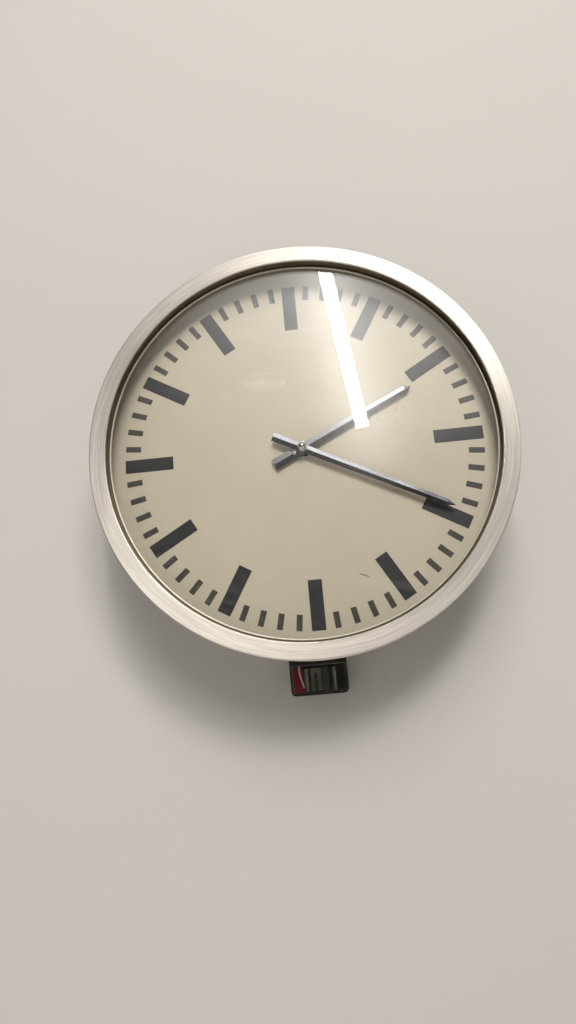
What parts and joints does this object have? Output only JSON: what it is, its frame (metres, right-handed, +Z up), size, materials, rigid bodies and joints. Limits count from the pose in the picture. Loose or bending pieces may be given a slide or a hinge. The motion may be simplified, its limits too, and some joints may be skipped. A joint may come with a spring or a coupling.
{
  "type": "wall clock",
  "caption": "Round wall clock with brushed steel bezel, flat glass, plain dial with baton marks, two hands, geared impulse movement and a clear connection box below.",
  "frame": {"origin": "centre of the case's flat back, on the dial's axis, in the wall plane", "axes": "+Z up to 12 o'clock, +X right seen from the front, -Y out of the wall through the dial (+Y into the wall)"},
  "size_m": [0.33, 0.085, 0.3562],
  "materials": {
    "brushed_steel": "circumferentially brushed",
    "zinc_steel": "zinc plated",
    "black_rubber": "matte",
    "window_glass": "clear",
    "case_paint": "semi-matte dark grey",
    "dial_paint": "satin warm off-white paint",
    "hour_ink": "matte printed ink",
    "minute_ink": "matte printed ink",
    "hand_metal": "polished",
    "polished_metal": "polished",
    "brass": "turned",
    "arbor_steel": "ground",
    "magnet": "sintered",
    "plate_brass": "satin",
    "soft_iron": "annealed",
    "bobbin_plastic": "natural",
    "copper_wire": "enamelled copper",
    "red_insulation": "soft insulation",
    "white_insulation": "soft insulation",
    "box_plastic": "dark moulded",
    "clear_plastic": "clear moulded",
    "strip_plastic": "translucent",
    "red_plastic": "moulded",
    "clamp_metal": "nickel plated"
  },
  "bodies": {
    "case": {"bearing_bushes": "brass", "bezel_ring": "brushed_steel", "bezel_screws": "zinc_steel", "box_screws": "zinc_steel", "case_pan": "case_paint", "case_seal": "black_rubber", "coil_bobbin": "bobbin_plastic", "coil_core": "soft_iron", "coil_winding": "copper_wire", "dial_bush": "polished_metal", "dial_feet": "brass", "dial_foot_screws": "zinc_steel", "dial_plate": "dial_paint", "dial_posts": "zinc_steel", "front_glass": "window_glass", "glass_gasket": "black_rubber", "glass_retainer": "zinc_steel", "hanger_plate": "zinc_steel", "hanger_rivets": "zinc_steel", "hour_marks": "hour_ink", "lead_grommet": "black_rubber", "lead_red": "red_insulation", "lead_white": "white_insulation", "line_grommet": "black_rubber", "minute_marks": "minute_ink", "minute_wheel_post": "arbor_steel", "movement_front_plate": "plate_brass", "movement_pillars": "plate_brass", "movement_rear_plate": "plate_brass", "movement_screws": "zinc_steel", "movement_standoffs": "zinc_steel", "plate_screws": "zinc_steel", "post_clip": "arbor_steel", "rim_nuts": "zinc_steel", "stator_poles": "soft_iron", "stator_screws": "zinc_steel", "stator_spacers": "zinc_steel", "terminal_block": "strip_plastic", "terminal_block_red": "red_plastic", "terminal_box_base": "box_plastic", "terminal_box_cover": "clear_plastic", "terminal_clamps": "clamp_metal", "terminal_screws": "clamp_metal"},
    "minute_shaft": {"centre_arbor": "arbor_steel", "centre_wheel": "brass", "cannon_pinion": "arbor_steel", "minute_hand": "hand_metal", "minute_hand_collet": "brass", "hand_cap": "polished_metal"},
    "hour_shaft": {"hour_wheel": "brass", "hour_hand": "hand_metal", "hour_hand_collet": "brass", "hour_hand_rivet": "polished_metal"},
    "motion_wheel": {"minute_wheel": "brass"},
    "intermediate_shaft": {"intermediate_arbor": "arbor_steel", "intermediate_wheel": "brass", "intermediate_pinion": "arbor_steel"},
    "rotor_shaft": {"rotor_arbor": "arbor_steel", "rotor_magnet": "magnet", "rotor_pinion": "arbor_steel"}
  },
  "joints": [
    {"name": "minute_spin", "type": "hinge", "parent": "case", "child": "minute_shaft", "pos_m": [0, -0.0448, 0], "axis": [0, 1, 0], "continuous": true},
    {"name": "hour_spin", "type": "hinge", "parent": "case", "child": "hour_shaft", "pos_m": [0, -0.055, 0], "axis": [0, 1, 0], "continuous": true},
    {"name": "motion_wheel_spin", "type": "hinge", "parent": "case", "child": "motion_wheel", "pos_m": [0.015, -0.0475, 0], "axis": [0, 1, 0], "continuous": true},
    {"name": "intermediate_spin", "type": "hinge", "parent": "case", "child": "intermediate_shaft", "pos_m": [0, -0.034, -0.015], "axis": [0, 1, 0], "continuous": true},
    {"name": "rotor_spin", "type": "hinge", "parent": "case", "child": "rotor_shaft", "pos_m": [0, -0.034, -0.02925], "axis": [0, 1, 0], "continuous": true}
  ],
  "couplings": [
    {"joint": "hour_spin", "follows": "minute_spin", "ratio": 0.083333},
    {"joint": "motion_wheel_spin", "follows": "minute_spin", "ratio": -0.33333},
    {"joint": "intermediate_spin", "follows": "minute_spin", "ratio": -4},
    {"joint": "rotor_spin", "follows": "minute_spin", "ratio": 15}
  ]
}
